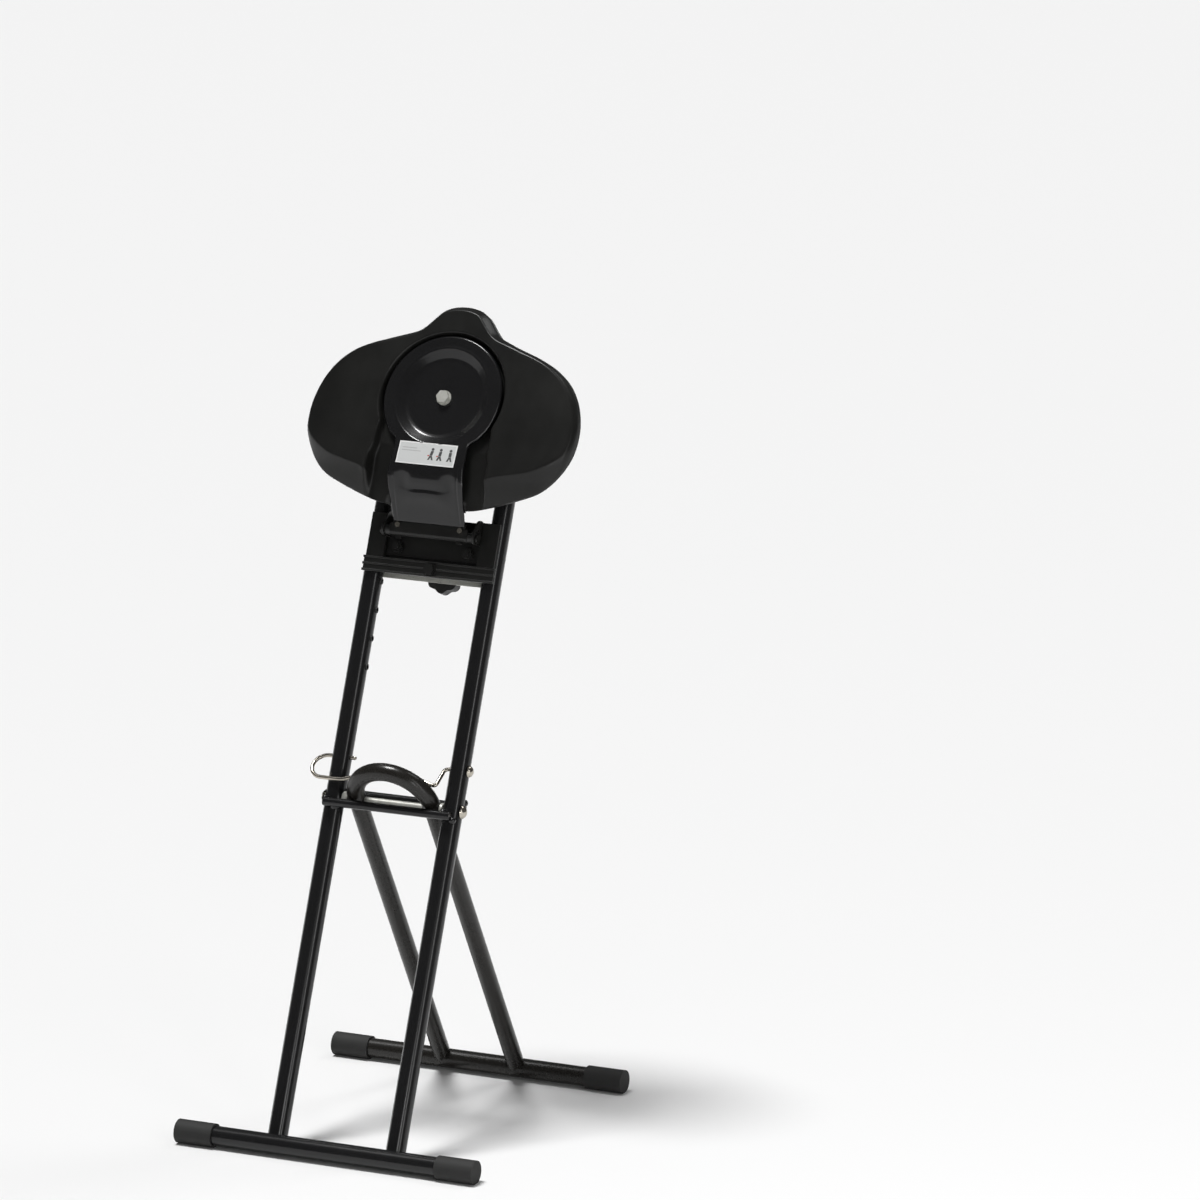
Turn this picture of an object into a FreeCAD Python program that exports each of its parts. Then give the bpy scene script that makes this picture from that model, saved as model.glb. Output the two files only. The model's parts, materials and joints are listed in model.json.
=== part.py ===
import FreeCAD, Part
import os
from math import sin, cos, radians, sqrt, pi

os.makedirs("parts", exist_ok=True)

V = FreeCAD.Vector

# Driving dimensions, in millimetres and degrees
FRONT_LEAN = 22.4          # front tubes from the vertical, top leaning back (+Y)
REAR_LEAN = 30.7           # rear legs from the vertical, foot going back (+Y)
PIVOT_HEIGHT = 410.0       # axle above the floor
FRONT_TUBE_D = 25.0
FRONT_TUBE_X = 81.6        # half the front tubes' spacing
FRONT_TUBE_TOP = 545.0     # along the tube, from the axle
REAR_TUBE_D = 22.5
REAR_LEG_X = 52.2         # half the rear legs' spacing, and the arc's radius
ARC_RISE = 3.0             # arc's centre above the axle
REAR_X = 1.5               # the rear frame sits this far to the right of the middle
WALL = 2.0
AXLE_D = 10.0
ROD_D = 11.0
ROD_OUT = 18.0             # stop rods in front of and behind the tubes' plane
ROD_ALONG = 8.5
FOOT_TUBE_D = 25.0
FOOT_LENGTH = 400.0
CAP_R = 15.0
CAP_LENGTH = 46.0
CAP_CENTRE_Z = 14.2        # so that each cap has a narrow flat on the floor
WIRE_D = 5.0
WIRE_AXIS = 51.0           # latch holes above the axle, along the front tubes
INDEX_FIRST = 275.0        # first height hole below the carriage
INDEX_STEP = 36.25
HINGE_S = 337.0
HINGE_N = 27.5
BOLT_S = 293.4             # clamp bolt
BOLT_X = 3.0
SEAT_S = 505.5             # seat bolt
SEAT_LEAN = 8.0            # folded up, the seat leans back from the tubes' direction
PLATE_N = 59.5             # outer rim of the seat plate, in front of the tubes' plane
FIT = 0.05                 # radial clearance of a running fit

# Seat outline: half width against the distance along the seat
SEAT_OUTLINE = [
    (627.2, 9.0), (624.0, 22.0), (616.0, 33.7), (602.0, 45.5), (592.0, 56.0), (585.0, 71.5),
    (578.0, 90.8), (570.0, 115.7), (560.0, 137.5), (546.0, 155.8), (530.0, 168.9), (512.0, 178.0),
    (490.0, 184.0), (470.0, 185.3), (450.0, 182.7), (430.0, 174.5), (412.0, 162.0), (398.0, 146.0),
    (387.0, 121.5), (376.0, 91.5), (368.6, 66.0), (367.5, 48.0), (367.8, 20.0),
]
SEAT_BACK_N = 23.5         # the side that is sat on, facing the tubes while folded up
SEAT_RIM_N = 48.0
SEAT_FACE_N = 61.0         # underside, level with the steel plate's rim
SEAT_WELL_N = 48.7         # floor of the round hollow that takes the steel plate

FRONT_TURN = 90.0 - FRONT_LEAN
REAR_TURN = 90.0 + REAR_LEAN

nodes = {}


def solid_of(shape):
    """The single clean solid of a boolean result."""
    clean = shape.removeSplitter()
    if len(clean.Solids) == 1:
        return clean.Solids[0]
    return Part.makeCompound(clean.Solids)


def rod_x(x0, x1, s, n, r):
    return Part.makeCylinder(r, x1 - x0, V(x0, s, n), V(1, 0, 0))


def rod_n(x, s, n0, n1, r):
    return Part.makeCylinder(r, n1 - n0, V(x, s, n0), V(0, 0, 1))


def rod_s(x, n, s0, s1, r):
    return Part.makeCylinder(r, s1 - s0, V(x, s0, n), V(0, 1, 0))


def block(x0, x1, s0, s1, n0, n1):
    return Part.makeBox(x1 - x0, s1 - s0, n1 - n0, V(x0, s0, n0))


def polygon_face(points):
    return Part.Face(Part.makePolygon(list(points) + [points[0]]))


def hex_prism(x, s, n0, n1, flats):
    r = flats / sqrt(3.0)
    ring = [V(x + r * cos(k * pi / 3), s + r * sin(k * pi / 3), n0) for k in range(6)]
    return polygon_face(ring).extrude(V(0, 0, n1 - n0))


def dome(x, s, n, r, height, outward):
    """Domed cap on an X-directed face."""
    ball_r = (r * r + height * height) / (2.0 * height)
    centre = V(x + outward * (height - ball_r), s, n)
    ball = Part.makeSphere(ball_r, centre)
    cut = Part.makeCylinder(r, height + 1.0, V(x, s, n), V(outward, 0, 0))
    return ball.common(cut)


def sweep(wire, r):
    start = wire.OrderedEdges[0]
    tangent = start.tangentAt(start.FirstParameter)
    origin = start.valueAt(start.FirstParameter)
    ring = Part.Wire(Part.makeCircle(r, origin, tangent))
    return wire.makePipeShell([ring], True, False)


def rounded_path(points, radii):
    """Polyline whose inner corners are replaced by tangent arcs."""
    edges = []
    last = points[0]
    for k in range(1, len(points) - 1):
        p = points[k]
        back = (points[k - 1] - p).normalize()
        ahead = (points[k + 1] - p).normalize()
        half = back.getAngle(ahead) / 2.0
        reach = radii[k - 1] / (sin(half) / cos(half))
        a = p + back * reach
        b = p + ahead * reach
        centre = p + (back + ahead).normalize() * (radii[k - 1] / sin(half))
        mid = centre + (p - centre).normalize() * radii[k - 1]
        edges.append(Part.makeLine(last, a))
        edges.append(Part.Arc(a, mid, b).toShape())
        last = b
    edges.append(Part.makeLine(last, points[-1]))
    return edges


def place(shape, turn):
    moved = shape.copy()
    moved.rotate(V(0, 0, 0), V(1, 0, 0), turn)
    moved.translate(V(0, 0, PIVOT_HEIGHT))
    return moved


def add_front(name, shape):
    """Local axes: X, s along the front tubes, n out of their plane to the front."""
    nodes[name] = place(solid_of(shape), FRONT_TURN)


def add_seat(name, shape):
    """The front tubes' axes, turned back about the middle of the seat plate."""
    moved = shape.copy()
    moved.rotate(V(0, SEAT_S, PLATE_N), V(1, 0, 0), -SEAT_LEAN)
    add_front(name, moved)


def add_rear(name, shape):
    """Local axes: X, up along the rear legs, and out of their plane to the front."""
    nodes[name] = place(solid_of(shape), REAR_TURN)


def group(shapes):
    return Part.makeCompound([s.Solids[0] for s in shapes])


FRONT_R = FRONT_TUBE_D / 2.0
REAR_R = REAR_TUBE_D / 2.0
AXLE_R = AXLE_D / 2.0
WIRE_R = WIRE_D / 2.0
LEAN_C = cos(radians(FRONT_LEAN))
LEAN_S = sin(radians(FRONT_LEAN))
FOOT_N = FRONT_R + FOOT_TUBE_D / 2.0
FOOT_S = -(PIVOT_HEIGHT - CAP_CENTRE_Z + FOOT_N * LEAN_S) / LEAN_C
FRONT_TUBE_END = FOOT_S + 6.0
REAR_FOOT_S = -(PIVOT_HEIGHT - CAP_CENTRE_Z) / cos(radians(REAR_LEAN))
INDEX_HOLES = [INDEX_FIRST + INDEX_STEP * k for k in range(-3, 3)]

# Front frame
for side, label in ((-1, "left"), (1, "right")):
    x = side * FRONT_TUBE_X
    tube = rod_s(x, 0, FRONT_TUBE_END, FRONT_TUBE_TOP, FRONT_R)
    tube = tube.cut(rod_s(x, 0, FRONT_TUBE_END - 1, FRONT_TUBE_TOP + 1, FRONT_R - WALL))
    tube = tube.cut(rod_x(x - 20, x + 20, 0, 0, AXLE_R))
    tube = tube.cut(rod_x(x - 20, x + 20, WIRE_AXIS, 0, WIRE_R + FIT))
    if side < 0:
        for s in INDEX_HOLES:
            tube = tube.cut(rod_x(x, x + 20, s, 0, 4.0))
    add_front("front_tube_" + label, tube)

eyelets = []
for s in INDEX_HOLES:
    inner = -FRONT_TUBE_X + FRONT_R - WALL - 0.6
    ring = rod_x(inner, inner + WALL + 1.6, s, 0, 4.0)
    eyelets.append(ring.cut(rod_x(inner - 1, inner + 6, s, 0, 2.5)))
plugs = []
for side in (-1, 1):
    x = side * FRONT_TUBE_X
    stem = rod_s(x, 0, FRONT_TUBE_TOP - 16, FRONT_TUBE_TOP, FRONT_R - WALL)
    head = rod_s(x, 0, FRONT_TUBE_TOP, FRONT_TUBE_TOP + 4, FRONT_R)
    plugs.append(solid_of(stem.fuse(head)))
    bung = rod_s(x, 0, FRONT_TUBE_END, FRONT_TUBE_END + 14, FRONT_R - WALL)
    plugs.append(bung)
add_front("index_eyelets", group(eyelets))
add_front("tube_end_plugs", group(plugs))

rod_end = FRONT_TUBE_X + 6.0
for label, side in (("front", 1), ("rear", -1)):
    s = -side * ROD_ALONG
    rod = rod_x(-rod_end, rod_end, s, side * ROD_OUT, ROD_D / 2.0)
    for x in (-FRONT_TUBE_X, FRONT_TUBE_X):
        bead = Part.makeSphere(4.6, V(x - 7.2, s + side * 4.4, side * (FRONT_R + 0.6)))
        bead = bead.fuse(Part.makeSphere(4.6, V(x + 7.2, s - side * 4.4, side * (FRONT_R + 0.6))))
        rod = rod.fuse(bead)
    for x in (-FRONT_TUBE_X, FRONT_TUBE_X):
        rod = rod.cut(rod_s(x, 0, s - 20, s + 20, FRONT_R))
    add_front(label + "_stop_rod", rod)

foot = rod_x(-FOOT_LENGTH / 2, FOOT_LENGTH / 2, FOOT_S, FOOT_N, FOOT_TUBE_D / 2.0)
foot = foot.cut(rod_x(-FOOT_LENGTH, FOOT_LENGTH, FOOT_S, FOOT_N, FOOT_TUBE_D / 2.0 - WALL))
add_front("front_foot_tube", foot)

axle_end = FRONT_TUBE_X + FRONT_R + 0.4
add_front("pivot_axle", rod_x(-axle_end, axle_end, 0, 0, AXLE_R))

spacers = []
for side in (-1, 1):
    a = REAR_X + side * (REAR_LEG_X + REAR_R + 0.3)
    b = side * (FRONT_TUBE_X - FRONT_R)
    ring = rod_x(min(a, b), max(a, b), 0, 0, 8.5).cut(rod_x(min(a, b) - 1, max(a, b) + 1, 0, 0, AXLE_R))
    saddle = rod_s(side * FRONT_TUBE_X, 0, -20, 20, FRONT_R)
    spacers.append(solid_of(ring.cut(saddle)))
add_front("axle_spacers", group(spacers))

caps = []
for side in (-1, 1):
    caps.append(dome(side * axle_end, 0, 0, 8.5, 5.4, side))
add_front("axle_dome_caps", group(caps))

# Rear frame
rise = ARC_RISE
left_x = REAR_X - REAR_LEG_X
right_x = REAR_X + REAR_LEG_X
arc = Part.Arc(V(left_x, rise, 0), V(REAR_X, rise + REAR_LEG_X, 0), V(right_x, rise, 0)).toShape()
path = Part.Wire([
    Part.makeLine(V(left_x, REAR_FOOT_S, 0), V(left_x, rise, 0)),
    arc,
    Part.makeLine(V(right_x, rise, 0), V(right_x, REAR_FOOT_S, 0)),
])
hoop = sweep(path, REAR_R)
hoop = hoop.cut(sweep(path, REAR_R - WALL))
foot_clear = rod_x(-80, 80, REAR_FOOT_S, 0, FOOT_TUBE_D / 2.0)
hoop = hoop.cut(foot_clear)
hoop = hoop.cut(rod_x(-80, 80, 0, 0, 7.0))
add_rear("rear_frame_tube", hoop)

bushes = []
for side in (-1, 1):
    a = REAR_X + side * (REAR_LEG_X - REAR_R)
    b = REAR_X + side * (REAR_LEG_X + REAR_R)
    ring = rod_x(min(a, b), max(a, b), 0, 0, 7.0)
    bushes.append(ring.cut(rod_x(min(a, b) - 1, max(a, b) + 1, 0, 0, AXLE_R + FIT)))
add_rear("pivot_bushes", group(bushes))

foot = rod_x(-FOOT_LENGTH / 2, FOOT_LENGTH / 2, REAR_FOOT_S, 0, FOOT_TUBE_D / 2.0)
foot = foot.cut(rod_x(-FOOT_LENGTH, FOOT_LENGTH, REAR_FOOT_S, 0, FOOT_TUBE_D / 2.0 - WALL))
add_rear("rear_foot_tube", foot)


def foot_caps(s, n):
    """Rubber end caps over a foot tube, before their undersides are cut flat."""
    out = []
    for side in (-1, 1):
        a = side * (FOOT_LENGTH / 2 - CAP_LENGTH)
        b = side * (FOOT_LENGTH / 2 + 5.0)
        cap = rod_x(min(a, b), max(a, b), s, n, CAP_R)
        inside = side * FOOT_LENGTH / 2
        socket = rod_x(min(a - side, inside), max(a - side, inside), s, n, FOOT_TUBE_D / 2.0)
        out.append(cap.cut(socket))
    return group(out)


floor_block = Part.makeBox(900, 1200, 100, V(-450, -600, -100))
nodes["front_foot_caps"] = place(foot_caps(FOOT_S, FOOT_N), FRONT_TURN).cut(floor_block)
nodes["rear_foot_caps"] = place(foot_caps(REAR_FOOT_S, 0), REAR_TURN).cut(floor_block)

# Spring-wire latch: both ends turn in the front tubes, the middle lies behind the arc
LOOP_X = -99.0
LOOP_S = 21.0
LOOP_N = 15.7
corners = [
    V(FRONT_TUBE_X + FRONT_R + 2.0, WIRE_AXIS, 0),
    V(61.5, WIRE_AXIS, 0),
    V(57.8, 27.0, 12.2),
    V(51.5, 28.0, 12.0),
    V(22.0, 36.0, 12.0),
    V(-22.0, 36.0, 12.0),
    V(-52.0, 27.2, 12.2),
    V(-71.0, LOOP_S, LOOP_N),
    V(LOOP_X, LOOP_S, LOOP_N),
]
edges = rounded_path(corners, [6.0, 3.8, 10.0, 14.0, 14.0, 14.0, 14.0])
loop_r = sqrt((WIRE_AXIS - LOOP_S) ** 2 + LOOP_N ** 2) / 2.0
loop_mid = V(LOOP_X - loop_r, (WIRE_AXIS + LOOP_S) / 2.0, LOOP_N / 2.0)
edges.append(Part.Arc(V(LOOP_X, LOOP_S, LOOP_N), loop_mid, V(LOOP_X, WIRE_AXIS, 0)).toShape())
tip = V(-(FRONT_TUBE_X - FRONT_R) + 5.0, WIRE_AXIS, 0)
edges.append(Part.makeLine(V(LOOP_X, WIRE_AXIS, 0), tip))
latch = sweep(Part.Wire(edges), WIRE_R)
latch = latch.fuse(Part.makeSphere(WIRE_R, tip))
add_front("latch_wire", latch)
cap_x = FRONT_TUBE_X + FRONT_R + 0.4
wire_cap = dome(cap_x, WIRE_AXIS, 0, 7.5, 5.2, 1)
wire_cap = wire_cap.cut(rod_x(cap_x - 1, FRONT_TUBE_X + FRONT_R + 2.0, WIRE_AXIS, 0, WIRE_R))
add_front("latch_cap", wire_cap)

# Sliding carriage
SHELL_R = 14.0
SHELL_T = 2.5
WING_X = 88.5
SHELL_LOW = 304.0
SHELL_TOP = 359.0
wing_in = FRONT_TUBE_X - SHELL_R - 2.8
shell = block(-wing_in - SHELL_T, wing_in + SHELL_T, SHELL_LOW, SHELL_TOP, 5.5, 8.0)
for side in (-1, 1):
    wing = (side * wing_in, side * WING_X)
    leg = (side * wing_in, side * (wing_in + SHELL_T))
    shell = shell.fuse(block(min(wing), max(wing), SHELL_LOW, SHELL_TOP, SHELL_R, SHELL_R + SHELL_T))
    shell = shell.fuse(block(min(leg), max(leg), SHELL_LOW, SHELL_TOP, 5.5, SHELL_R + SHELL_T))
for x in (-48.5, 48.5):
    shell = shell.cut(rod_n(x, 319.0, 0, 10, 4.0))
add_front("carriage_shell", shell)

BAND_LOW = 284.5
BAND_X = 90.0
band = block(-BAND_X, BAND_X, BAND_LOW, SHELL_LOW, SHELL_R, SHELL_R + SHELL_T)
for s in (BAND_LOW + 1.6, (BAND_LOW + SHELL_LOW) / 2.0, SHELL_LOW - 1.6):
    rib = rod_x(-BAND_X - 1.0, BAND_X + 1.0, s, SHELL_R + SHELL_T - 0.4, 1.6)
    band = band.fuse(rib)
band = band.fuse(rod_n(BOLT_X, BOLT_S, SHELL_R + 0.5, SHELL_R + 4.0, 8.5))
band = band.cut(rod_n(BOLT_X, BOLT_S, 0, 30, 4.0))
add_front("clamp_front_plate", band)

back = block(-84, 84, 282.5, 344.0, -SHELL_R - 3.0, -SHELL_R)
back = back.cut(rod_n(BOLT_X, BOLT_S, -20, -10, 4.0))
for x in (-48.5, 48.5):
    back = back.cut(rod_n(x, 319.0, -20, -10, 4.0))
add_front("clamp_back_plate", back)

guides = []
for side in (-1, 1):
    x = side * FRONT_TUBE_X
    ring = rod_s(x, 0, 287.0, 357.0, SHELL_R)
    ring = ring.cut(rod_s(x, 0, 286.0, 358.0, FRONT_R + FIT))
    ends = sorted([side * 60.0, side * WING_X])
    front_half = ring.common(block(ends[0], ends[1], 286, 358, 5.4, 20))
    ends = sorted([side * 60.0, side * 83.5])
    rear_half = ring.common(block(ends[0], ends[1], 286, 358, -20, -5.4))
    guides += [solid_of(front_half), solid_of(rear_half)]
add_front("guide_sleeves", group(guides))

STOP_N = 20.0
LUG_IN = 61.0
LUG_OUT = 64.0
bracket = block(-LUG_OUT, LUG_OUT, 308, 352, 8.0, 10.5)
for side in (-1, 1):
    a = min(side * LUG_IN, side * LUG_OUT)
    b = max(side * LUG_IN, side * LUG_OUT)
    profile = block(a, b, 330, 350, 8.0, HINGE_N)
    nose = rod_x(a, b, HINGE_S + 1.5, HINGE_N, 9.5)
    shoulder = rod_x(a, b, 349.0, 19.5, 11.5)
    ear = profile.fuse([nose, shoulder])
    bracket = bracket.fuse(ear)
    bracket = bracket.fuse(block(side * 42 - 5, side * 42 + 5, 342.1, 350, 10.0, STOP_N))
bracket = bracket.cut(rod_x(-70, 70, HINGE_S, HINGE_N, 4.0))
bracket = bracket.cut(rod_x(-70, 70, 347.5, 25.0, 1.7))
for x in (-48.5, 48.5):
    bracket = bracket.cut(rod_n(x, 319.0, 0, 12, 4.0))
add_front("hinge_bracket", bracket)

bolts = []
nuts = []
for x in (-48.5, 48.5):
    shank = rod_n(x, 319.0, -SHELL_R - 3.0, 20.0, 4.0)
    head = hex_prism(x, 319.0, -SHELL_R - 8.3, -SHELL_R - 3.0, 13.0)
    bolts.append(solid_of(shank.fuse(head)))
    nut = hex_prism(x, 319.0, 12.0, 17.5, 13.0).fuse(rod_n(x, 319.0, 10.5, 12.0, 8.0))
    nuts.append(solid_of(nut.cut(rod_n(x, 319.0, 10, 18, 4.0))))
add_front("bracket_bolts", group(bolts))
add_front("bracket_nuts", group(nuts))

KNOB_N = -37.0
stud = rod_n(BOLT_X, BOLT_S, KNOB_N + 3.5, SHELL_R + 4.0, 4.0)
stud = stud.fuse(hex_prism(BOLT_X, BOLT_S, SHELL_R + 4.0, SHELL_R + 9.0, 13.0))
add_front("clamp_bolt", stud)
washer = rod_n(BOLT_X, BOLT_S, -SHELL_R - 4.6, -SHELL_R - 3.0, 9.0)
add_front("clamp_washer", washer.cut(rod_n(BOLT_X, BOLT_S, -30, 0, 4.0)))

pin = rod_x(-LUG_OUT - 0.8, LUG_OUT + 0.8, HINGE_S, HINGE_N, 4.0)
for side in (-1, 1):
    a = side * (LUG_OUT + 0.8)
    pin = pin.fuse(rod_x(min(a, a + side * 2.2), max(a, a + side * 2.2), HINGE_S, HINGE_N, 5.5))
add_front("hinge_pin", pin)

# Star knob on the clamp bolt
insert_top = -SHELL_R - 4.9
LOBES = 7
insert = rod_n(BOLT_X, BOLT_S, KNOB_N + 4.5, insert_top, 7.0)
insert = insert.cut(rod_n(BOLT_X, BOLT_S, -60, 0, 4.0 + FIT))
add_front("knob_insert", insert)
knob = rod_n(BOLT_X, BOLT_S, KNOB_N, KNOB_N + 14.0, 20.5)
for k in range(LOBES):
    turn = 2 * pi * (k + 0.25) / LOBES
    knob = knob.fuse(rod_n(BOLT_X + 15.0 * cos(turn), BOLT_S + 15.0 * sin(turn), KNOB_N, KNOB_N + 14.0, 7.5))
for k in range(LOBES):
    turn = 2 * pi * (k + 0.75) / LOBES
    knob = knob.cut(rod_n(BOLT_X + 24.0 * cos(turn), BOLT_S + 24.0 * sin(turn), KNOB_N - 1, KNOB_N + 14, 4.4))
knob = knob.fuse(rod_n(BOLT_X, BOLT_S, KNOB_N + 14.0, insert_top, 11.0))
knob = knob.cut(rod_n(BOLT_X, BOLT_S, KNOB_N + 3.0, 0, 7.0))
add_front("star_knob", knob)

# Seat hinge and plate
BAR_X = 53.0
SCREW_X = 43.0
SCREW_S = HINGE_S + 6.4
bar = rod_x(-BAR_X, BAR_X, HINGE_S, HINGE_N, 6.2)
bar = bar.fuse(block(-BAR_X, BAR_X, HINGE_S - 2.5, HINGE_S + 8.5, HINGE_N + 3.5, HINGE_N + 6.3))
bar = bar.fuse(block(-49.0, 49.0, HINGE_S, HINGE_S + 15.0, HINGE_N + 3.5, HINGE_N + 6.3))
for x in (-42.0, 42.0):
    bar = bar.fuse(block(x - 4, x + 4, HINGE_S - 9.5, HINGE_S, HINGE_N - 1.5, HINGE_N + 2.0))
bar = bar.cut(rod_x(-70, 70, HINGE_S, HINGE_N, 4.0 + FIT))
for x in (-SCREW_X, SCREW_X):
    bar = bar.cut(rod_n(x, SCREW_S, HINGE_N + 2.0, HINGE_N + 9.0, 2.0))
add_front("hinge_bar", bar)

washers = []
for side in (-1, 1):
    a = min(side * (BAR_X + 0.3), side * (LUG_IN - 0.3))
    b = max(side * (BAR_X + 0.3), side * (LUG_IN - 0.3))
    ring = rod_x(a, b, HINGE_S, HINGE_N, 6.0)
    washers.append(ring.cut(rod_x(a - 1, b + 1, HINGE_S, HINGE_N, 4.0)))
add_front("hinge_washers", group(washers))

# Seat plate: a dished disc and a tongue that comes down on the hinge bar, in the seat's own axes
SHEET = 2.5
FLOOR_N = PLATE_N - 8.0
BAND_N = PLATE_N - 0.5
dish = [
    (0.0, FLOOR_N), (49.5, FLOOR_N), (50.8, FLOOR_N + 0.4), (52.5, FLOOR_N + 1.4), (60.5, FLOOR_N + 6.2),
    (62.2, FLOOR_N + 7.2), (63.5, BAND_N), (80.0, BAND_N), (80.0, BAND_N - SHEET), (64.3, BAND_N - SHEET),
    (63.0, FLOOR_N + 7.2 - SHEET), (61.3, FLOOR_N + 6.2 - SHEET), (53.3, FLOOR_N + 1.4 - SHEET),
    (51.4, FLOOR_N + 0.4 - SHEET), (49.9, FLOOR_N - SHEET), (0.0, FLOOR_N - SHEET),
]
section = polygon_face([V(r, SEAT_S, n) for r, n in dish])
disc = section.revolve(V(0, SEAT_S, 0), V(0, 0, 1), 360.0)

tongue_line = [(352.4, 12.1), (357.1, 17.3), (363.3, 23.2), (370.4, 29.9), (377.6, 36.8), (384.7, 43.6),
               (391.6, 48.9), (397.6, 52.2), (404.4, 54.6), (414.2, 56.3), (430.0, BAND_N - SHEET)]


def tongue_curve(lift):
    curve = Part.BSplineCurve()
    curve.interpolate(Points=[V(-80, s, n + lift) for s, n in tongue_line])
    return curve.toShape()


START_S, START_N = tongue_line[0]
END_S, END_N = tongue_line[-1]
side_face = Part.Face(Part.Wire([
    tongue_curve(0.0),
    Part.makeLine(V(-80, END_S, END_N), V(-80, 470, END_N)),
    Part.makeLine(V(-80, 470, END_N), V(-80, 470, BAND_N)),
    Part.makeLine(V(-80, 470, BAND_N), V(-80, END_S, BAND_N)),
    tongue_curve(SHEET),
    Part.makeLine(V(-80, START_S, START_N + SHEET), V(-80, START_S, START_N)),
]))
tongue = side_face.extrude(V(160, 0, 0))
half_plan = [(49.5, 350.0), (51.0, 378.0), (52.5, 397.0), (51.0, 418.0), (50.3, 440.0), (50.3, 458.0)]
plan = half_plan + [(-x, s) for x, s in reversed(half_plan)]
plan_face = polygon_face([V(x, s, 5) for x, s in plan])
tongue = tongue.common(plan_face.extrude(V(0, 0, 65)))
tongue = tongue.cut(rod_n(0, SEAT_S, 20, 90, 67.5))
plate = disc.fuse(tongue)
plate = plate.cut(rod_n(0, SEAT_S, 0, 80, 6.0))
add_seat("seat_plate", plate)

screws = []
for x in (-SCREW_X, SCREW_X):
    shank = rod_n(x, SCREW_S, HINGE_N + 2.5, HINGE_N + 6.3, 2.0)
    head = rod_n(x, SCREW_S, HINGE_N + 6.3, HINGE_N + 8.3, 3.4)
    screws.append(solid_of(shank.fuse(head)))
add_front("hinge_screws", group(screws))

add_seat("seat_label", block(-42.0, 37.7, 414.5, 443.3, BAND_N + 0.3, BAND_N + 0.7))

bolt = rod_n(0, SEAT_S, SEAT_WELL_N - 20.0, FLOOR_N + 2.0, 6.0)
bolt = bolt.fuse(hex_prism(0, SEAT_S, FLOOR_N + 2.0, FLOOR_N + 7.3, 15.0))
add_seat("seat_bolt", bolt)
ring = rod_n(0, SEAT_S, FLOOR_N, FLOOR_N + 2.0, 9.5)
add_seat("seat_washer", ring.cut(rod_n(0, SEAT_S, 0, 90, 6.0)))

# Seat: a moulded foam body on a plywood board, with a nut in it, in the same axes
BOARD_LOW = SEAT_WELL_N - 12.0
outline = SEAT_OUTLINE
points = [V(w, s, 0) for s, w in outline] + [V(-w, s, 0) for s, w in reversed(outline)]


def scaled(k, n):
    mid = 486.0
    return [V(p.x * k, mid + (p.y - mid) * k, n) for p in points]


curve = Part.BSplineCurve()
curve.interpolate(Points=scaled(1.0, SEAT_BACK_N), PeriodicFlag=True)
body = Part.Face(Part.Wire(curve.toShape())).extrude(V(0, 0, SEAT_RIM_N - SEAT_BACK_N))
curve = Part.BSplineCurve()
curve.interpolate(Points=scaled(0.94, SEAT_RIM_N), PeriodicFlag=True)
raised = Part.Face(Part.Wire(curve.toShape())).extrude(V(0, 0, SEAT_FACE_N - SEAT_RIM_N))
body = body.fuse(raised)
body = body.cut(rod_n(0, SEAT_S, SEAT_WELL_N, SEAT_FACE_N + 5, 84.0))
ramp = polygon_face([V(-79, 335, 31.5), V(-79, 352, 31.5), V(-79, 440, SEAT_WELL_N), V(-79, 480, SEAT_WELL_N),
                     V(-79, 480, 90), V(-79, 335, 90)])
body = body.cut(ramp.extrude(V(158, 0, 0)))
notch = polygon_face([V(-53.5, 345, 20), V(-53.5, 364, 22.5), V(-53.5, 367.5, 25.9), V(-53.5, 372, 30.4),
                      V(-53.5, 379, 37.2), V(-53.5, 379, 90), V(-53.5, 345, 90)])
body = body.cut(notch.extrude(V(107, 0, 0)))
body = body.cut(rod_n(0, SEAT_S, BOARD_LOW - 0.2, SEAT_FACE_N, 62.2))
body = body.cut(rod_n(0, SEAT_S, BOARD_LOW - 9.0, SEAT_FACE_N, 12.0))
add_seat("seat_cushion", body)
board = rod_n(0, SEAT_S, BOARD_LOW, SEAT_WELL_N - 0.2, 62.0)
add_seat("seat_board", board.cut(rod_n(0, SEAT_S, 0, 90, 8.0)))
nut = rod_n(0, SEAT_S, BOARD_LOW - 3.0, BOARD_LOW, 11.0).fuse(rod_n(0, SEAT_S, BOARD_LOW, BOARD_LOW + 10, 8.0))
add_seat("seat_nut", nut.cut(rod_n(0, SEAT_S, 0, 90, 6.0)))

low = min(shape.BoundBox.YMin for shape in nodes.values())
high = max(shape.BoundBox.YMax for shape in nodes.values())
pivot_y = -(low + high) / 2.0
print("axle at y = %.4f, z = %.1f" % (pivot_y, PIVOT_HEIGHT))
for name, shape in nodes.items():
    shape.translate(V(0, pivot_y, 0))
    if not shape.isValid():
        print("invalid:", name)
    shape.exportStep("parts/%s.step" % name)
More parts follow.
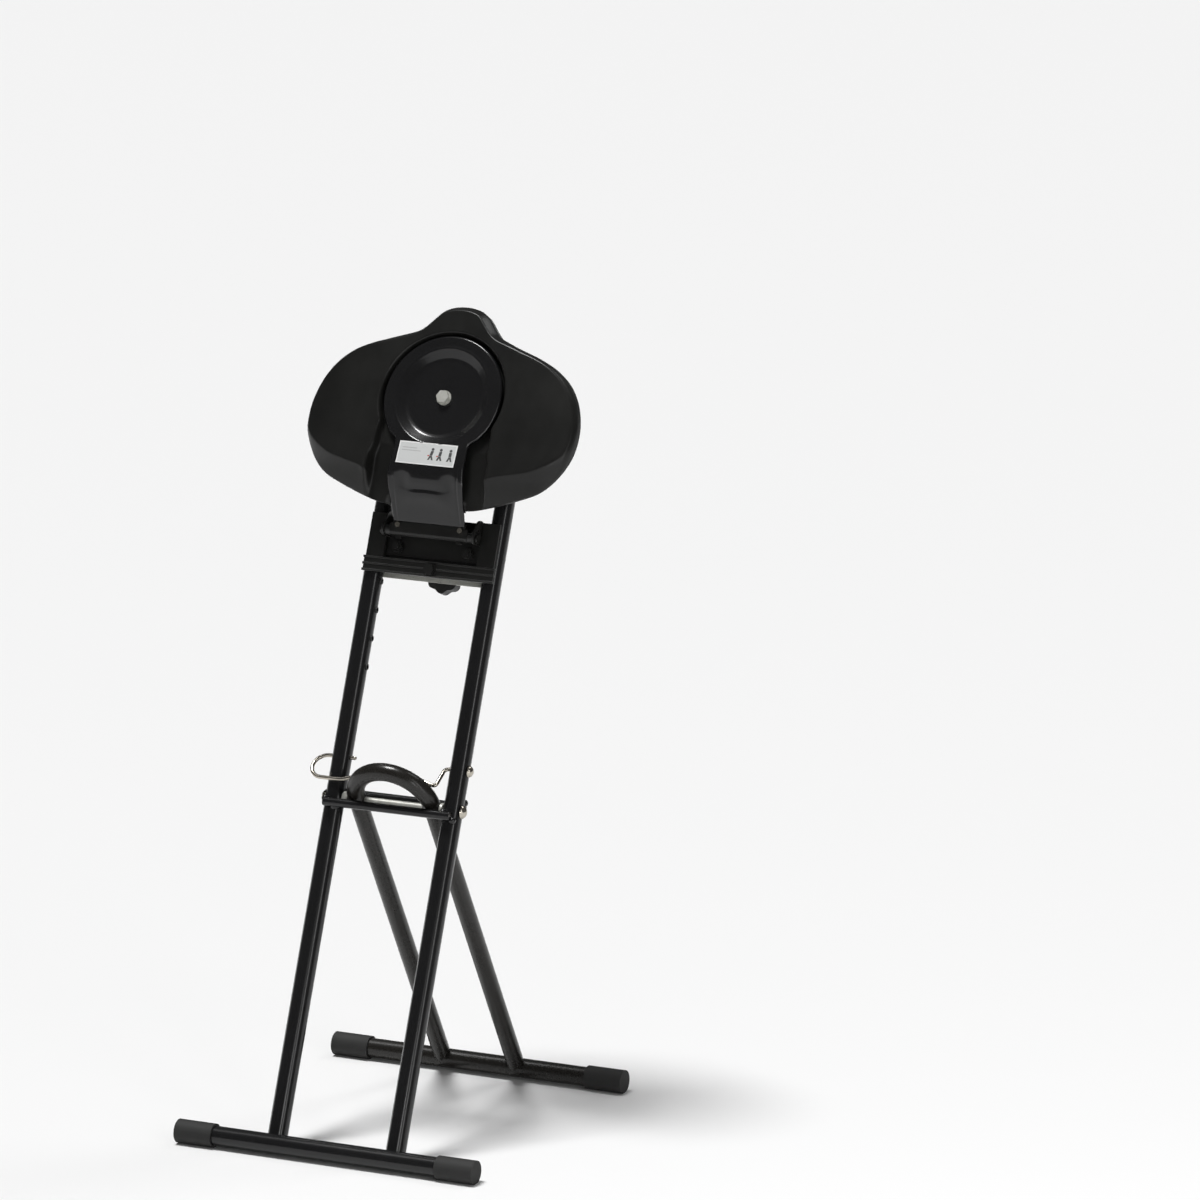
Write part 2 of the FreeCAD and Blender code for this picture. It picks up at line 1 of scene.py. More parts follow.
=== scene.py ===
import bpy
import bmesh
import json
import math
import numpy as np
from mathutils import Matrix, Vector


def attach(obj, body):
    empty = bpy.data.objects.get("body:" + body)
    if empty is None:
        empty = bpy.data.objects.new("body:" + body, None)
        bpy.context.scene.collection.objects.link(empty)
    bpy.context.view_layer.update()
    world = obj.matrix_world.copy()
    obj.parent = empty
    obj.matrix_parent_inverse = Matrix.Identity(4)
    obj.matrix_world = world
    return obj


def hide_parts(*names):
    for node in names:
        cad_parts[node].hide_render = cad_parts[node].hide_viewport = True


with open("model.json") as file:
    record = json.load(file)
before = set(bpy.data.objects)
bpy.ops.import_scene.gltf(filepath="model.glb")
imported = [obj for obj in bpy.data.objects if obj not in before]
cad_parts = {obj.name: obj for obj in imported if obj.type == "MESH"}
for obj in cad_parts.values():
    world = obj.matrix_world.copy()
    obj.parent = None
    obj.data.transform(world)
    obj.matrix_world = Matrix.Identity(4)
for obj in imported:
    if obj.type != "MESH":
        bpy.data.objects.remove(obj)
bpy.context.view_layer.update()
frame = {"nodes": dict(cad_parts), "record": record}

# ---------------------------------------------------------------- local frame
JOINTS = {j["name"]: j for j in frame["record"]["behaviour"]["joints"]}
PIVOT = Vector(JOINTS["rear_fold"]["pos_m"])
T = Vector(JOINTS["height_slide"]["axis"]).normalized()      # up along the front tubes
X = Vector((1, 0, 0))
N = X.cross(T).normalized()                                  # out of the tubes' plane, to the front


def loc(x, s, n):
    """Millimetres along X, along the front tubes and out of their plane, as a point in the row frame."""
    return PIVOT + (X * x + T * s + N * n) * 0.001


def to_local(p):
    """The opposite of loc."""
    d = (Vector(p) - PIVOT) * 1000.0
    return d.dot(X), d.dot(T), d.dot(N)


# The seat leans back from the tubes' direction, about the middle of its steel plate
LEAN = math.radians(8.0)
SEAT_MID_S, SEAT_MID_N = 505.5, 59.5


def seat_loc(x, s, n):
    """The same as loc, in the leaning seat's own axes."""
    ds, dn = s - SEAT_MID_S, n - SEAT_MID_N
    return loc(x, SEAT_MID_S + ds * math.cos(LEAN) + dn * math.sin(LEAN),
               SEAT_MID_N - ds * math.sin(LEAN) + dn * math.cos(LEAN))


def seat_local(node):
    """Lowest and highest coordinates of a CAD node in the seat's axes."""
    co = np.array([to_local(v.co) for v in frame["nodes"][node].data.vertices])
    ds, dn = co[:, 1] - SEAT_MID_S, co[:, 2] - SEAT_MID_N
    co[:, 1] = SEAT_MID_S + ds * math.cos(LEAN) - dn * math.sin(LEAN)
    co[:, 2] = SEAT_MID_N + ds * math.sin(LEAN) + dn * math.cos(LEAN)
    return co.min(0), co.max(0)


# ---------------------------------------------------------------- materials
def new_material(name):
    m = bpy.data.materials.new(name)
    m.use_nodes = True
    nt = m.node_tree
    nt.nodes.clear()
    out = nt.nodes.new("ShaderNodeOutputMaterial")
    bsdf = nt.nodes.new("ShaderNodeBsdfPrincipled")
    nt.links.new(bsdf.outputs["BSDF"], out.inputs["Surface"])
    return m, nt, bsdf


def noise(nt, scale, detail=4.0, rough=0.55, stretch=None):
    tc = nt.nodes.new("ShaderNodeTexCoord")
    node = nt.nodes.new("ShaderNodeTexNoise")
    node.inputs["Scale"].default_value = scale
    node.inputs["Detail"].default_value = detail
    node.inputs["Roughness"].default_value = rough
    if stretch:
        mp = nt.nodes.new("ShaderNodeMapping")
        mp.inputs["Scale"].default_value = stretch
        nt.links.new(tc.outputs["Object"], mp.inputs["Vector"])
        nt.links.new(mp.outputs["Vector"], node.inputs["Vector"])
    else:
        nt.links.new(tc.outputs["Object"], node.inputs["Vector"])
    return node


def remap(nt, socket, low, high, a=0.3, b=0.7):
    r = nt.nodes.new("ShaderNodeMapRange")
    r.inputs["From Min"].default_value = a
    r.inputs["From Max"].default_value = b
    r.inputs["To Min"].default_value = low
    r.inputs["To Max"].default_value = high
    nt.links.new(socket, r.inputs["Value"])
    return r.outputs["Result"]


def mix_colour(nt, factor, a, b):
    m = nt.nodes.new("ShaderNodeMix")
    m.data_type = "RGBA"
    m.inputs["A"].default_value = (*a, 1)
    m.inputs["B"].default_value = (*b, 1)
    nt.links.new(factor, m.inputs["Factor"])
    return m.outputs["Result"]


def bump(nt, bsdf, height, strength, distance):
    b = nt.nodes.new("ShaderNodeBump")
    b.inputs["Strength"].default_value = strength
    b.inputs["Distance"].default_value = distance
    nt.links.new(height, b.inputs["Height"])
    nt.links.new(b.outputs["Normal"], bsdf.inputs["Normal"])
    return b


def finish_of(name, dark, light, rough, metallic=0.0, coat=0.0, coat_rough=0.1, specular=0.5, cloud=9.0,
              stretch=None, grain=600.0, grain_depth=0.00004, grain_strength=0.25):
    """A finish with slow colour and roughness variation and fine relief."""
    m, nt, bsdf = new_material(name)
    slow = noise(nt, cloud, 5.0, 0.6)
    fine = noise(nt, grain, 3.0, 0.6, stretch)
    mixed = nt.nodes.new("ShaderNodeMath")
    mixed.operation = "MULTIPLY_ADD"
    mixed.inputs[1].default_value = 0.5
    nt.links.new(slow.outputs["Fac"], mixed.inputs[0])
    half = nt.nodes.new("ShaderNodeMath")
    half.operation = "MULTIPLY"
    half.inputs[1].default_value = 0.5
    nt.links.new(fine.outputs["Fac"], half.inputs[0])
    nt.links.new(half.outputs[0], mixed.inputs[2])
    colour = mix_colour(nt, remap(nt, mixed.outputs[0], 0.0, 1.0, 0.35, 0.65), dark, light)
    nt.links.new(colour, bsdf.inputs["Base Color"])
    nt.links.new(remap(nt, mixed.outputs[0], rough[0], rough[1], 0.35, 0.65), bsdf.inputs["Roughness"])
    bsdf.inputs["Metallic"].default_value = metallic
    bsdf.inputs["Specular IOR Level"].default_value = specular
    bsdf.inputs["Coat Weight"].default_value = coat
    bsdf.inputs["Coat Roughness"].default_value = coat_rough
    bump(nt, bsdf, fine.outputs["Fac"], grain_strength, grain_depth)
    return m


def foam_skin(name):
    """Integral-skin foam: fine pebbled grain, slow sheen changes and faint handling marks."""
    m, nt, bsdf = new_material(name)
    tc = nt.nodes.new("ShaderNodeTexCoord")
    cells = nt.nodes.new("ShaderNodeTexVoronoi")
    cells.feature = "SMOOTH_F1"
    cells.inputs["Scale"].default_value = 520.0
    nt.links.new(tc.outputs["Object"], cells.inputs["Vector"])
    slow = noise(nt, 11.0, 6.0, 0.6)
    marks = noise(nt, 60.0, 8.0, 0.7, (1.0, 0.25, 0.25))
    dark, light = (0.0085, 0.0085, 0.008), (0.0125, 0.0125, 0.0115)
    colour = mix_colour(nt, remap(nt, slow.outputs["Fac"], 0.0, 1.0), dark, light)
    nt.links.new(colour, bsdf.inputs["Base Color"])
    add = nt.nodes.new("ShaderNodeMath")
    add.operation = "ADD"
    nt.links.new(remap(nt, slow.outputs["Fac"], 0.30, 0.37), add.inputs[0])
    nt.links.new(remap(nt, marks.outputs["Fac"], 0.0, 0.05, 0.45, 0.7), add.inputs[1])
    nt.links.new(add.outputs[0], bsdf.inputs["Roughness"])
    bsdf.inputs["Specular IOR Level"].default_value = 0.28
    height = nt.nodes.new("ShaderNodeMath")
    height.operation = "ADD"
    nt.links.new(cells.outputs["Distance"], height.inputs[0])
    nt.links.new(marks.outputs["Fac"], height.inputs[1])
    bump(nt, bsdf, height.outputs[0], 0.22, 0.0002)
    return m


def plywood(name):
    """Birch plywood with its grain along X."""
    m, nt, bsdf = new_material(name)
    grain = noise(nt, 30.0, 6.0, 0.6, (1.0, 12.0, 12.0))
    colour = mix_colour(nt, remap(nt, grain.outputs["Fac"], 0.0, 1.0), (0.42, 0.29, 0.17), (0.60, 0.45, 0.29))
    nt.links.new(colour, bsdf.inputs["Base Color"])
    nt.links.new(remap(nt, grain.outputs["Fac"], 0.5, 0.7), bsdf.inputs["Roughness"])
    bump(nt, bsdf, grain.outputs["Fac"], 0.3, 0.0002)
    return m


def print_ink(name, dark, light):
    """Ink on the label."""
    return finish_of(name, dark, light, (0.4, 0.5), grain=1500.0, grain_depth=0.00002)


def label_paper(name, dark, light):
    """Coated paper of the label."""
    return finish_of(name, dark, light, (0.34, 0.45), grain=1500.0, grain_depth=0.00002)


MATS = {
    "painted": finish_of(
        "gloss_black_powder_coat", (0.0075, 0.0075, 0.008), (0.0105, 0.0105, 0.011), (0.18, 0.24),
        coat=0.15, coat_rough=0.08, grain=700.0, grain_depth=0.00003, grain_strength=0.18, specular=0.38),
    "painted_rear": finish_of(
        "gloss_black_powder_coat_rear", (0.0115, 0.0105, 0.009), (0.016, 0.0145, 0.0125), (0.24, 0.33),
        coat=0.1, coat_rough=0.12, grain=650.0, grain_depth=0.00003, grain_strength=0.18, specular=0.38),
    "zinc": finish_of(
        "bright_zinc", (0.50, 0.50, 0.46), (0.66, 0.66, 0.61), (0.26, 0.40), metallic=0.35,
        grain=240.0, grain_depth=0.00005, cloud=60.0, stretch=(6.0, 1.0, 1.0)),
    "nickel": finish_of(
        "polished_nickel", (0.40, 0.37, 0.32), (0.56, 0.52, 0.45), (0.14, 0.24), metallic=1.0,
        grain=420.0, grain_depth=0.00003, cloud=50.0),
    "black_plastic": finish_of(
        "moulded_black_nylon", (0.012, 0.012, 0.012), (0.020, 0.020, 0.019), (0.40, 0.55),
        grain=900.0, grain_depth=0.00012, grain_strength=0.4),
    "rubber": finish_of(
        "matt_black_rubber", (0.014, 0.014, 0.014), (0.024, 0.024, 0.023), (0.65, 0.85),
        grain=800.0, grain_depth=0.0002, grain_strength=0.5),
    "foam_skin": foam_skin("integral_skin_foam"),
    "plywood": plywood("birch_plywood"),
    "label": label_paper("label_paper", (0.60, 0.61, 0.61), (0.66, 0.67, 0.66)),
    "black_steel": finish_of(
        "satin_black_steel", (0.0095, 0.0095, 0.009), (0.0150, 0.0150, 0.014), (0.32, 0.45),
        grain=500.0, grain_depth=0.00006, grain_strength=0.35, cloud=25.0, specular=0.32),
    "label_edge": label_paper("label_white_border", (0.80, 0.80, 0.79), (0.86, 0.86, 0.85)),
    "print_dark": print_ink("label_dark_print", (0.05, 0.05, 0.05), (0.09, 0.09, 0.09)),
    "print_grey": print_ink("label_grey_print", (0.42, 0.42, 0.42), (0.50, 0.50, 0.50)),
    "print_red": print_ink("label_red_print", (0.42, 0.05, 0.04), (0.52, 0.07, 0.05)),
}
NODE_SLOT = {s["node"]: s["material_slot"] for s in frame["record"]["subparts"]}
for node_name, node_object in frame["nodes"].items():
    node_object.data.materials.clear()
    node_object.data.materials.append(MATS[NODE_SLOT[node_name]])


# ---------------------------------------------------------------- mesh helpers
def mesh_object(name, verts, faces, material, smooth=True):
    """A closed mesh object with merged vertices and outward normals."""
    me = bpy.data.meshes.new(name)
    me.from_pydata([tuple(v) for v in verts], [], faces)
    me.update()
    bm = bmesh.new()
    bm.from_mesh(me)
    bmesh.ops.remove_doubles(bm, verts=bm.verts, dist=1e-6)
    bmesh.ops.recalc_face_normals(bm, faces=bm.faces)
    bm.to_mesh(me)
    bm.free()
    if smooth:
        me.polygons.foreach_set("use_smooth", [True] * len(me.polygons))
    me.materials.append(material)
    ob = bpy.data.objects.new(name, me)
    bpy.context.scene.collection.objects.link(ob)
    return ob


def grid_faces(rows, cols, wrap=False):
    """Quads of a grid whose vertices are listed row by row."""
    faces = []
    for i in range(rows - 1):
        for j in range(cols if wrap else cols - 1):
            k = (j + 1) % cols
            faces.append((i * cols + j, i * cols + k, (i + 1) * cols + k, (i + 1) * cols + j))
    return faces


def smoothstep(a, b, v):
    t = np.clip((v - a) / (b - a), 0, 1)
    return t * t * (3 - 2 * t)


# ---------------------------------------------------------------- seat cushion
cush_lo, cush_hi = seat_local("seat_cushion")
bolt_lo, bolt_hi = seat_local("seat_bolt")
DISC_S = (bolt_lo[1] + bolt_hi[1]) / 2.0
BACK_N = cush_lo[2]
FACE_N = cush_hi[2]
WELL_R = 83.0
WELL_N = BACK_N + 25.3
MID_S = 486.0              # middle of the outline, from which the rings spread
SEAM_N = BACK_N + 10.0     # groove round the side wall
FOAM_GAP = 1.5             # least thickness between the two faces
# Half of the seat's outline, from the horn down: distance along the seat and half width
OUTLINE = [
    (627.2, 0.0), (625.6, 14.5), (622.0, 25.0), (615.6, 33.4), (602.0, 45.0), (592.0, 55.5),
    (585.0, 71.0), (577.6, 90.5), (569.6, 115.2), (559.7, 137.0), (545.8, 155.2), (529.8, 168.3),
    (512.0, 177.4), (490.0, 183.4), (470.0, 184.7), (450.0, 182.1), (430.2, 174.0), (412.3, 161.6),
    (398.3, 145.6), (387.4, 121.3), (376.4, 91.5), (369.2, 66.0), (368.0, 48.0), (368.3, 20.0),
    (368.3, 0.0),
]


def outline_curve(count):
    """Closed outline, evenly spaced by length, as (x, s) pairs starting at the horn."""
    right = np.array([(x, s) for s, x in OUTLINE])
    left = right[1:-1][::-1] * np.array([-1.0, 1.0])
    p = np.vstack([right, left])
    m = len(p)
    dense = []
    for i in range(m):
        a, b, c, d = p[(i - 1) % m], p[i], p[(i + 1) % m], p[(i + 2) % m]
        for u in np.linspace(0, 1, 24, endpoint=False):
            square = (2 * a - 5 * b + 4 * c - d) * u * u
            cube = (3 * b - a - 3 * c + d) * u ** 3
            dense.append(0.5 * (2 * b + (c - a) * u + square + cube))
    dense = np.array(dense)
    step = np.linalg.norm(np.diff(np.vstack([dense, dense[:1]]), axis=0), axis=1)
    along = np.concatenate([[0], np.cumsum(step)])
    closed = np.vstack([dense, dense[:1]])
    want = np.linspace(0, along[-1], count, endpoint=False)
    return np.stack([np.interp(want, along, closed[:, k]) for k in range(2)], 1)


AROUND = 420
RIM = outline_curve(AROUND)
CENTRE = np.array([0.0, MID_S])


def edge_distance(x, s):
    """Distance inside the outline, from a coarse copy of it."""
    ring = RIM[::3]
    nxt = np.roll(ring, -1, axis=0)
    best = np.full(x.shape, 1e9)
    for a, b in zip(ring, nxt):
        d = b - a
        t = np.clip(((x - a[0]) * d[0] + (s - a[1]) * d[1]) / (d @ d), 0, 1)
        best = np.minimum(best, np.hypot(x - a[0] - t * d[0], s - a[1] - t * d[1]))
    return best


def rim_n(x, s):
    """Where the side wall ends and the underside's bevel begins.

    It is lower on the wings and along the lower edge.
    """
    wing = smoothstep(70.0, 165.0, np.abs(x))
    return BACK_N + 24.0 - 11.5 * np.maximum(smoothstep(470.0, 410.0, s), wing)


def bevel_width(x, s):
    """The underside's edge bevel: narrow round the top, broad along the lower edges."""
    low = smoothstep(455.0, 395.0, s) * smoothstep(40.0, 95.0, np.abs(x))
    horn = smoothstep(560.0, 600.0, s)
    return 6.5 + 25.0 * low + 1.0 * horn


def rolled(d, width):
    """Quarter-round rise from 0 at the edge to 1 at the given distance inside it."""
    return np.sqrt(np.clip(1 - (1 - np.clip(d / width, 0, 1)) ** 2, 0, 1))


def under_n(x, s, d):
    """The underside: a bevelled face with the plate's round well, the tongue's slot and a notch below it."""
    w = bevel_width(x, s)
    t = np.clip(d / w, 0, 1)
    soft = rolled(d, w)
    facet = t * 0.90 + 0.10 * soft
    low_edge = smoothstep(455.0, 405.0, s) * smoothstep(30.0, 80.0, np.abs(x))
    side = np.maximum(low_edge, smoothstep(575.0, 595.0, s))
    rise = soft * (1 - 0.95 * side) + facet * 0.95 * side
    wing = np.clip((np.abs(x) - 82.0) / 103.0, 0, None)
    face = FACE_N - 0.6 - 2.0 * smoothstep(545.0, 625.0, s) - 13.0 * wing ** 2
    n = rim_n(x, s) + (face - rim_n(x, s)) * rise
    r = np.hypot(x, s - DISC_S)
    bowl = smoothstep(WELL_R + 2.5, WELL_R - 2.5, r)
    half = 77.0 + 4.0 * smoothstep(440.0, 420.0, s) - 6.0 * smoothstep(452.0, 500.0, s)
    slot = smoothstep(half + 3.0, half - 4.0, np.abs(x)) * smoothstep(DISC_S + 4.0, DISC_S - 8.0, s)
    floor_slot = np.interp(s, [352.0, 440.0, 480.0], [BACK_N + 8.0, WELL_N, WELL_N])
    floor_slot = np.minimum(floor_slot, n)
    n = n * (1 - bowl) + np.minimum(WELL_N, n) * bowl
    n = n * (1 - slot) + np.minimum(floor_slot, n) * slot
    notch = np.interp(s, [364.0, 367.5, 372.0, 379.0, 384.0], [22.5, 25.9, 30.4, 37.2, 70.0])
    under = smoothstep(55.5, 52.5, np.abs(x))
    return n * (1 - under) + np.minimum(notch, n) * under


def back_n(x, s, d):
    """The side that is sat on: a shallow saddle with rolled edges and a raised nose."""
    roll = rolled(d, 26.0)
    dishes = 3.2 * np.exp(-((np.abs(x) - 92.0) / 52.0) ** 2 - ((s - 455.0) / 60.0) ** 2)
    groove = 2.2 * np.exp(-(x / 15.0) ** 2) * smoothstep(600.0, 540.0, s) * smoothstep(362.0, 400.0, s)
    top = BACK_N + 0.1 + dishes + groove
    return SEAM_N + (top - SEAM_N) * roll


INNER_RINGS = np.concatenate([np.linspace(0.0, 0.90, 120), 1.0 - np.geomspace(0.095, 0.004, 26), [1.0]])
verts = []
for rho in INNER_RINGS:
    p = CENTRE + (RIM - CENTRE) * rho
    d = edge_distance(p[:, 0], p[:, 1]) if rho < 1 else np.zeros(len(p))
    n = under_n(p[:, 0], p[:, 1], d)
    verts += [seat_loc(a, b, c) for (a, b), c in zip(p, n)]
top_rows = len(INNER_RINGS)
edge_n = under_n(RIM[:, 0], RIM[:, 1], np.zeros(len(RIM)))
SEAM = ((2.2, 0.0), (1.2, -0.55), (0.2, 0.0))      # height above SEAM_N and distance out of the wall
for height, out in SEAM:
    q = RIM + (RIM - CENTRE) / np.linalg.norm(RIM - CENTRE, axis=1)[:, None] * out
    wall = np.minimum(SEAM_N + height, edge_n - 0.9 + 0.25 * height)
    verts += [seat_loc(a, b, c) for (a, b), c in zip(q, wall)]
BACK_RINGS = INNER_RINGS[::-1]
for rho in BACK_RINGS:
    p = CENTRE + (RIM - CENTRE) * rho
    d = edge_distance(p[:, 0], p[:, 1]) if rho < 1 else np.zeros(len(p))
    n = np.minimum(back_n(p[:, 0], p[:, 1], d), under_n(p[:, 0], p[:, 1], d) - FOAM_GAP)
    verts += [seat_loc(a, b, c) for (a, b), c in zip(p, n)]
rows = top_rows + len(SEAM) + len(BACK_RINGS)
cushion = mesh_object("seat_cushion_foam", verts, grid_faces(rows, AROUND, True), MATS["foam_skin"])
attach(cushion, "seat")
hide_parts("seat_cushion")

# ---------------------------------------------------------------- seat plate
plate_lo, plate_hi = seat_local("seat_plate")
PLATE_N = 59.0             # front face of the disc's flat rim
DISC_R = plate_hi[0] - 0.3
TONGUE_END = plate_lo[1] + 0.1
SHEET = 2.4
NECK_S = 440.0             # where the tongue runs into the disc
ROUND_S = 470.0            # above this the plate is the disc alone


def plate_half(s):
    """Half width of the pressed plate at a distance along the seat."""
    arc = np.sqrt(np.clip(DISC_R ** 2 - (s - DISC_S) ** 2, 0, None))
    tongue = np.interp(s, [352.4, 378.0, 397.0, 418.0, NECK_S], [49.3, 50.8, 52.2, 50.8, 50.1])
    neck = smoothstep(NECK_S, NECK_S + 16.0, s)
    lower = np.maximum(tongue * (1 - neck) + arc * neck, np.where(s < NECK_S, tongue, 0))
    return np.where(s > ROUND_S, arc, lower)


# The tongue's front face from the hinge bar up to the disc: distance along the seat and height
TONGUE = [
    (340.0, 2.0), (352.0, 14.5), (357.1, 19.8), (363.3, 25.7), (370.4, 32.4), (377.6, 39.3),
    (384.7, 46.1), (391.6, 51.4), (397.6, 54.7), (404.4, 57.1), (414.2, 58.8), (424.0, PLATE_N),
]
# The dished ring: radius and depth below the rim
DISH = [(49.5, -7.5), (50.8, -7.1), (52.5, -6.1), (60.5, -1.3), (62.2, -0.3), (63.5, 0.0)]
LINE_S = np.arange(340.0, 480.0, 0.5)
LINE_N = np.interp(LINE_S, *zip(*TONGUE))
LINE_N = np.convolve(np.pad(LINE_N, 8, mode="edge"), np.hanning(17) / np.hanning(17).sum(), mode="valid")


def plate_n(x, s, d):
    """Front face of the pressing: a dished disc with a flat rim, and a tongue that bulges over the hinge."""
    r = np.hypot(x, s - DISC_S)
    cone = PLATE_N + np.interp(r, *zip(*DISH))
    bead = 0.45 * np.exp(-((r - 50.0) / 1.3) ** 2) + 0.40 * np.exp(-((r - 63.8) / 1.5) ** 2)
    disc = cone + bead
    arch = 2.4 * np.exp(-((x / 31.0) ** 4) - ((s - 374.5 - 5.0 * (1 - (x / 31.0) ** 2)) / 6.5) ** 2)
    crease = -1.6 * np.exp(-((x / 26.0) ** 4) - ((s - 387.0) / 4.5) ** 2)
    dents = -4.0 * np.exp(-((np.abs(x) - 32.0) / 10.0) ** 2 - ((s - 394.0) / 11.0) ** 2)
    fold = -0.9 * np.exp(-((np.abs(x) - 43.5) / 1.4) ** 2)
    fold = fold * smoothstep(350.0, 358.0, s) * smoothstep(425.0, 410.0, s)
    tongue = np.interp(s, LINE_S, LINE_N) + arch + crease + dents + fold
    blend = smoothstep(NECK_S - 1.0, NECK_S + 3.0, s)
    n = tongue * (1 - blend) + disc * blend
    return n - 2.2 * np.clip(1 - d / 3.0, 0, 1) ** 2


ROWS = 110
START_TURN = math.asin((ROUND_S + 1.0 - DISC_S) / DISC_R)
s_rows = list(np.linspace(TONGUE_END, ROUND_S, ROWS))
s_rows += list(DISC_S + DISC_R * np.sin(np.linspace(START_TURN, math.pi / 2, ROWS)))
s_rows = np.array(s_rows)
COLS = 121
u = np.sin(np.linspace(-math.pi / 2, math.pi / 2, COLS)) * 0.5 + np.linspace(-1, 1, COLS) * 0.5
front, rear = [], []
for s in s_rows:
    half = float(plate_half(np.array(s)))
    half = max(half, 0.35)
    x = u * half
    inside = half - np.abs(x)
    if s > DISC_S - 40:
        inside = np.clip(DISC_R - np.hypot(x, s - DISC_S), 0, None)
    n = plate_n(x, np.full_like(x, s), inside)
    front += [seat_loc(a, s, c) for a, c in zip(x, n)]
    rear += [seat_loc(a, s, c - SHEET) for a, c in zip(x, n)]
rows = len(s_rows)
faces = grid_faces(rows, COLS)
off = rows * COLS
faces += [tuple(v + off for v in face) for face in grid_faces(rows, COLS)]
border = list(range(COLS)) + [i * COLS + COLS - 1 for i in range(1, rows)]
border += [(rows - 1) * COLS + j for j in range(COLS - 2, -1, -1)]
border += [i * COLS for i in range(rows - 2, 0, -1)]
for a, b in zip(border, border[1:] + border[:1]):
    faces.append((a, b, b + off, a + off))
plate = mesh_object("seat_plate_pressing", front + rear, faces, MATS["painted"])
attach(plate, "seat")
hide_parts("seat_plate")


# ---------------------------------------------------------------- label
lab_lo, lab_hi = seat_local("seat_label")
LX0, LX1, LS0, LS1 = lab_lo[0], lab_hi[0], lab_lo[1], lab_hi[1]
LABEL_N = lab_lo[2] - 0.1
PAPER = 0.12               # thickness of the white sheet
FIELD = 0.04               # the grey field on it
INK = 0.03
BORDER = 1.6


def flat_piece(name, outline, lift, thick, material):
    """A thin prism from an (x, s) outline, lying on the tongue."""
    m = len(outline)
    v = [seat_loc(a, b, LABEL_N + lift) for a, b in outline]
    v += [seat_loc(a, b, LABEL_N + lift + thick) for a, b in outline]
    f = [tuple(range(m))[::-1], tuple(range(m, 2 * m))]
    f += [(i, (i + 1) % m, (i + 1) % m + m, i + m) for i in range(m)]
    ob = mesh_object(name, v, f, material, smooth=False)
    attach(ob, "seat")
    return ob


def printed(name, outline, ink):
    """A shape printed on the label's field."""
    flat_piece(name, outline, PAPER + FIELD, INK, MATS[ink])


def circle(cx, cy, r, k=24):
    turns = np.linspace(0, 2 * math.pi, k, endpoint=False)
    return [(cx + r * math.cos(a), cy + r * math.sin(a)) for a in turns]


def rect(x0, x1, s0, s1):
    return [(x0, s0), (x1, s0), (x1, s1), (x0, s1)]


sheet = flat_piece("label_sheet", rect(LX0, LX1, LS0, LS1), 0.0, PAPER, MATS["label_edge"])
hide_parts("seat_label")
field = rect(LX0 + BORDER, LX1 - BORDER, LS0 + BORDER, LS1 - BORDER)
flat_piece("label_field", field, PAPER, FIELD, MATS["label"])
for k, (length, y) in enumerate(((20.0, 0.72), (26.0, 0.60))):
    bar_s = LS0 + (LS1 - LS0) * y
    printed("label_bar_%d" % k, rect(LX0 + 5.0, LX0 + 5.0 + length, bar_s - 0.55, bar_s + 0.55), "print_grey")
MIDS = (LS0 + LS1) / 2.0
for k, (cx, lean) in enumerate(((LX0 + 46.0, 3.0), (LX0 + 58.0, 1.5), (LX0 + 72.0, 0.0))):
    top_x = cx + lean * 0.4
    printed("label_dot_%d" % k, circle(top_x, MIDS + 6.6, 1.9), "print_dark")
    body = [(cx - 1.9, MIDS - 1.5), (cx + 1.9, MIDS - 1.5)]
    body += [(top_x + 1.9, MIDS + 4.4), (top_x - 1.9, MIDS + 4.4)]
    printed("label_block_%d" % k, body, "print_dark")
    wedge = [(cx - 3.9, MIDS - 7.5), (cx - 1.6, MIDS - 7.5), (cx, MIDS - 4.2), (cx + 1.6, MIDS - 7.5)]
    wedge += [(cx + 3.9, MIDS - 7.5), (cx + 1.6, MIDS - 1.7), (cx - 1.6, MIDS - 1.7)]
    printed("label_wedge_%d" % k, wedge, "print_dark")
    if k < 2:
        printed("label_red_%d" % k, rect(cx - 4.6, cx - 2.2, MIDS - 2.6, MIDS - 1.2), "print_red")

# ---------------------------------------------------------------- stage, light and camera
bpy.ops.mesh.primitive_plane_add(size=1.0, location=(0, 0, 0))
floor = bpy.context.object
floor.name = "floor"
floor.scale = (60.0, 60.0, 1.0)
floor.location.z = -0.0005
floor_mat, nt, bsdf = new_material("studio_floor")
cloud = noise(nt, 0.8, 3.0, 0.5)
colour = mix_colour(nt, cloud.outputs["Fac"], (0.86, 0.86, 0.86), (0.88, 0.88, 0.88))
nt.links.new(colour, bsdf.inputs["Base Color"])
nt.links.new(remap(nt, cloud.outputs["Fac"], 0.75, 0.85), bsdf.inputs["Roughness"])
floor.data.materials.append(floor_mat)

world = bpy.data.worlds.new("studio")
bpy.context.scene.world = world
world.use_nodes = True
world.node_tree.nodes["Background"].inputs["Color"].default_value = (1.0, 1.0, 1.0, 1.0)
world.node_tree.nodes["Background"].inputs["Strength"].default_value = 0.10


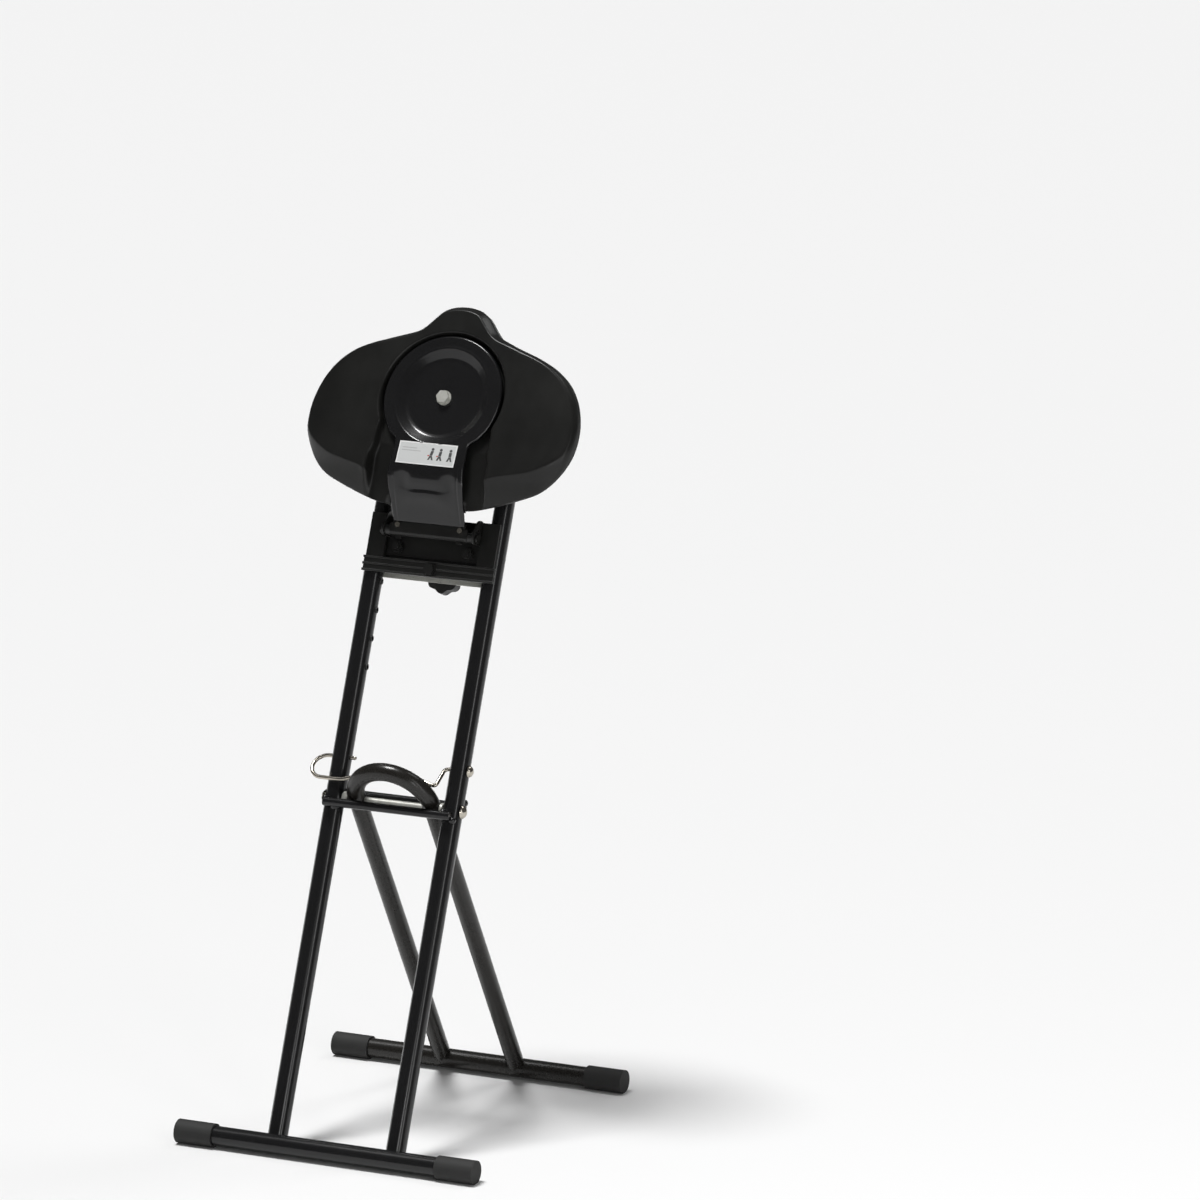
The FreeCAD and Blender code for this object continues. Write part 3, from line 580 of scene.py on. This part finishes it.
def sun(name, azimuth, elevation, strength, angle):
    """Soft sun. Azimuth 0 shines from the front (-Y), and positive from the right (+X)."""
    light = bpy.data.lights.new(name, "SUN")
    light.energy = strength
    light.angle = math.radians(angle)
    ob = bpy.data.objects.new(name, light)
    bpy.context.scene.collection.objects.link(ob)
    a, e = math.radians(azimuth), math.radians(elevation)
    back = Vector((math.sin(a) * math.cos(e), -math.cos(a) * math.cos(e), math.sin(e)))
    ob.rotation_euler = (-back).to_track_quat("-Z", "Y").to_euler()
    return ob


def strip(name, azimuth, distance, height, width, tall, power):
    """Area light facing the object's axis, for the thin highlights on gloss paint."""
    light = bpy.data.lights.new(name, "AREA")
    light.shape = "RECTANGLE"
    light.size, light.size_y = width, tall
    light.energy = power
    ob = bpy.data.objects.new(name, light)
    bpy.context.scene.collection.objects.link(ob)
    a = math.radians(azimuth)
    ob.location = (math.sin(a) * distance, -math.cos(a) * distance, height)
    ob.rotation_euler = Vector((-math.sin(a), math.cos(a), 0)).to_track_quat("-Z", "Y").to_euler()
    ob.visible_camera = False
    return ob


sun("key", -70, 78, 2.9, 16)
sun("rim", 150, 50, 0.3, 14)
strip("strip_right", 60, 2.2, 1.15, 0.30, 1.9, 7.0)
strip("strip_low", 38, 2.2, 0.67, 0.30, 0.5, 3.2)

AZ, EL = math.radians(25.35), math.radians(13.2)      # the camera's direction from the object
LENS = 236.07
BACK, RIGHT, UP = 9.7407, 0.25484, 0.25266            # metres from the axle, in the camera's own axes
fwd = Vector((-math.sin(AZ) * math.cos(EL), math.cos(AZ) * math.cos(EL), -math.sin(EL)))
right = Vector((math.cos(AZ), math.sin(AZ), 0))
up = right.cross(fwd)
cam_data = bpy.data.cameras.new("camera")
cam_data.lens = LENS
cam_data.sensor_width = 36.0
cam_data.clip_start, cam_data.clip_end = 0.1, 100.0
camera = bpy.data.objects.new("camera", cam_data)
bpy.context.scene.collection.objects.link(camera)
camera.location = PIVOT + right * RIGHT + up * UP - fwd * BACK
camera.rotation_euler = fwd.to_track_quat("-Z", "Y").to_euler()
bpy.context.scene.camera = camera
bpy.context.scene.view_settings.view_transform = "Standard"
bpy.context.scene.view_settings.look = "None"
